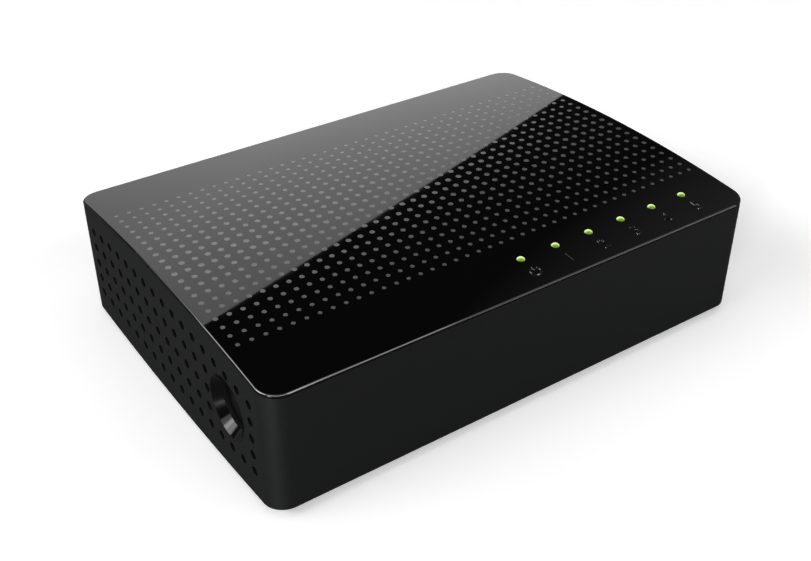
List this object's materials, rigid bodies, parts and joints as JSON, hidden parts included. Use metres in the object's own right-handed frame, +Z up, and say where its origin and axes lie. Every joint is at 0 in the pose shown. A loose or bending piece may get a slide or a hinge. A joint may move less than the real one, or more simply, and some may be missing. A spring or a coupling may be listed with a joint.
{
  "type": "desktop network switch",
  "caption": "Small flat desktop network switch: crowned gloss cover with a row of lit indicators, matte vented case, round power inlet and a row of rear network sockets.",
  "frame": {"origin": "on the table plane under the middle of the case", "axes": "+X to the right seen from the indicator side, +Y to the rear with the ports, +Z up"},
  "size_m": [0.082, 0.058, 0.0217],
  "materials": {
    "gloss_cover": "polished mould, high gloss black",
    "matte_case": "fine matte mould texture, black",
    "lit_pipe": "clear acrylic, lit yellow-green from below",
    "rubber_feet": "matte black rubber",
    "steel_screws": "zinc plated",
    "board_laminate": "green solder mask",
    "port_plastic": "moulded black",
    "gilt_contacts": "gold flash",
    "jack_plastic": "moulded black, semi-gloss",
    "nickel": "nickel plated",
    "chip_epoxy": "moulded epoxy",
    "pad_silicone": "soft silicone pad",
    "sink_aluminium": "extruded, clear anodised",
    "transformer_plastic": "moulded black",
    "tin_leads": "tinned",
    "crystal_can": "drawn can",
    "inductor_ferrite": "ferrite",
    "capacitor_can": "drawn can",
    "capacitor_ceramic": "fired",
    "resistor_film": "glazed",
    "led_resin": "clear resin"
  },
  "bodies": {
    "switch": {"top_cover": "gloss_cover", "bottom_case": "matte_case", "light_pipe": "lit_pipe", "foot_front_left": "rubber_feet", "foot_front_right": "rubber_feet", "foot_rear_left": "rubber_feet", "foot_rear_right": "rubber_feet", "case_screws": "steel_screws", "board_screws": "steel_screws", "circuit_board": "board_laminate", "port_housing": "port_plastic", "port_carrier_1": "port_plastic", "port_carrier_2": "port_plastic", "port_carrier_3": "port_plastic", "port_carrier_4": "port_plastic", "port_carrier_5": "port_plastic", "port_leads": "gilt_contacts", "jack_body": "jack_plastic", "jack_pin": "nickel", "jack_leaf_terminal": "nickel", "switch_chip": "chip_epoxy", "thermal_pad": "pad_silicone", "heat_sink": "sink_aluminium", "transformer_1": "transformer_plastic", "transformer_2": "transformer_plastic", "transformer_3": "transformer_plastic", "transformer_4": "transformer_plastic", "transformer_5": "transformer_plastic", "transformer_leads": "tin_leads", "crystal": "crystal_can", "setup_memory": "chip_epoxy", "voltage_regulator": "chip_epoxy", "power_inductor": "inductor_ferrite", "input_diode": "chip_epoxy", "electrolytic_capacitors": "capacitor_can", "chip_capacitors": "capacitor_ceramic", "chip_resistors": "resistor_film", "indicator_leds": "led_resin"},
    "contacts_1": {"contact_springs_1": "gilt_contacts"},
    "contacts_2": {"contact_springs_2": "gilt_contacts"},
    "contacts_3": {"contact_springs_3": "gilt_contacts"},
    "contacts_4": {"contact_springs_4": "gilt_contacts"},
    "contacts_5": {"contact_springs_5": "gilt_contacts"},
    "sleeve_leaf": {"jack_leaf": "nickel"}
  },
  "joints": [
    {"name": "port_1_contacts", "type": "hinge", "parent": "switch", "child": "contacts_1", "pos_m": [-0.028, 0.0256, 0.00895], "axis": [1, 0, 0], "range_deg": [0, 8], "stiffness_Nm_per_rad": 0.1},
    {"name": "port_2_contacts", "type": "hinge", "parent": "switch", "child": "contacts_2", "pos_m": [-0.014, 0.0256, 0.00895], "axis": [1, 0, 0], "range_deg": [0, 8], "stiffness_Nm_per_rad": 0.1},
    {"name": "port_3_contacts", "type": "hinge", "parent": "switch", "child": "contacts_3", "pos_m": [0, 0.0256, 0.00895], "axis": [1, 0, 0], "range_deg": [0, 8], "stiffness_Nm_per_rad": 0.1},
    {"name": "port_4_contacts", "type": "hinge", "parent": "switch", "child": "contacts_4", "pos_m": [0.014, 0.0256, 0.00895], "axis": [1, 0, 0], "range_deg": [0, 8], "stiffness_Nm_per_rad": 0.1},
    {"name": "port_5_contacts", "type": "hinge", "parent": "switch", "child": "contacts_5", "pos_m": [0.028, 0.0256, 0.00895], "axis": [1, 0, 0], "range_deg": [0, 8], "stiffness_Nm_per_rad": 0.1},
    {"name": "jack_leaf_flex", "type": "hinge", "parent": "switch", "child": "sleeve_leaf", "pos_m": [-0.02995, -0.0178, 0.00875], "axis": [0, -1, 0], "range_deg": [0, 5], "stiffness_Nm_per_rad": 0.1}
  ]
}
